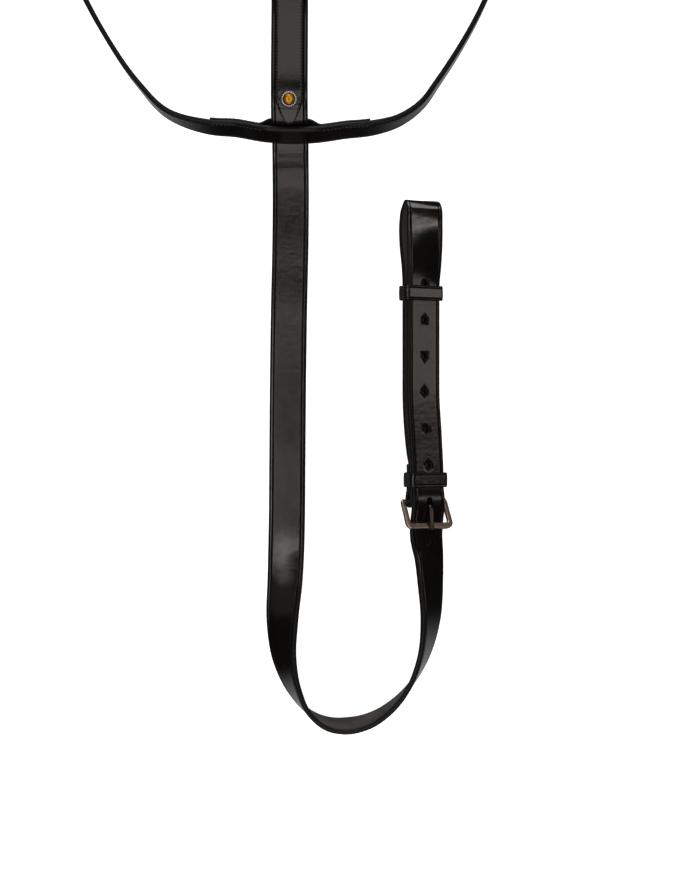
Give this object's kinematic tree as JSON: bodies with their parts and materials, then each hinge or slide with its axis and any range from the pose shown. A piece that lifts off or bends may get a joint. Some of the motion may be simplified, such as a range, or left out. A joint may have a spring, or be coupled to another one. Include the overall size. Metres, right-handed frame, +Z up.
{
  "type": "martingale breastplate",
  "caption": "Black leather martingale breastplate with neck strap, branched body strap with rein rings, buckled girth loop and a round stud badge.",
  "frame": {"origin": "under the middle of the whole laid-out object, on the table it lies on", "axes": "+Z up from the table, +Y from the girth end toward the neck, +X to the right seen from above"},
  "size_m": [0.3324, 0.8714, 0.0341],
  "materials": {
    "black_bridle_leather": "waxed black bridle leather, soft sheen",
    "black_lining_leather": "dull black lining leather",
    "gunmetal_plated_steel": "brown gunmetal plating, polished",
    "nickel_plated_brass": "nickel plating, bright",
    "gold_plated_brass": "polished gold plating"
  },
  "bodies": {
    "straps": {"body_strap": "black_bridle_leather", "fork_strap_left": "black_bridle_leather", "fork_strap_right": "black_bridle_leather", "chest_tab": "black_bridle_leather", "stud_rim": "nickel_plated_brass", "stud_dome": "gold_plated_brass", "stud_washer": "gunmetal_plated_steel", "neck_strap": "black_bridle_leather", "crossing_loop": "black_lining_leather", "girth_fixed_keeper": "black_bridle_leather", "neck_fixed_keeper": "black_bridle_leather"},
    "girth_frame": {"girth_buckle_frame": "gunmetal_plated_steel"},
    "girth_tongue": {"girth_buckle_tongue": "gunmetal_plated_steel"},
    "girth_runner": {"girth_runner_keeper": "black_bridle_leather"},
    "neck_frame": {"neck_buckle_frame": "gunmetal_plated_steel"},
    "neck_tongue": {"neck_buckle_tongue": "gunmetal_plated_steel"},
    "neck_runner": {"neck_runner_keeper": "black_bridle_leather"},
    "ring_left": {"rein_ring_left": "gunmetal_plated_steel"},
    "ring_right": {"rein_ring_right": "gunmetal_plated_steel"}
  },
  "joints": [
    {"name": "girth_frame_swing", "type": "hinge", "parent": "straps", "child": "girth_frame", "pos_m": [0.09759, -0.27545, 0.01156], "axis": [-0.8829, 0, 0.4695], "range_deg": [0, 14]},
    {"name": "girth_tongue_swing", "type": "hinge", "parent": "girth_frame", "child": "girth_tongue", "pos_m": [0.09759, -0.27545, 0.01156], "axis": [-0.8829, 0, 0.4695], "range_deg": [0, 14]},
    {"name": "girth_runner_slide", "type": "slide", "parent": "straps", "child": "girth_runner", "axis": [0, -1, 0], "range_m": [-0.002, 0.062]},
    {"name": "neck_frame_swing", "type": "hinge", "parent": "straps", "child": "neck_frame", "pos_m": [-0.15617, 0.16595, 0.01279], "axis": [0, 0, -1], "range_deg": [0, 14]},
    {"name": "neck_tongue_swing", "type": "hinge", "parent": "neck_frame", "child": "neck_tongue", "pos_m": [-0.15617, 0.16595, 0.01279], "axis": [0, 0, -1], "range_deg": [0, 14]},
    {"name": "neck_runner_slide", "type": "slide", "parent": "straps", "child": "neck_runner", "axis": [0, -1, 0], "range_m": [-0.026, 0.026]},
    {"name": "ring_left_swing", "type": "hinge", "parent": "straps", "child": "ring_left", "pos_m": [-0.05512, 0.33695, 0.00556], "axis": [0.9874, 0.158, 0], "range_deg": [0, 160]},
    {"name": "ring_right_swing", "type": "hinge", "parent": "straps", "child": "ring_right", "pos_m": [0.06488, 0.33695, 0.00556], "axis": [0.9874, -0.158, 0], "range_deg": [0, 160]}
  ]
}
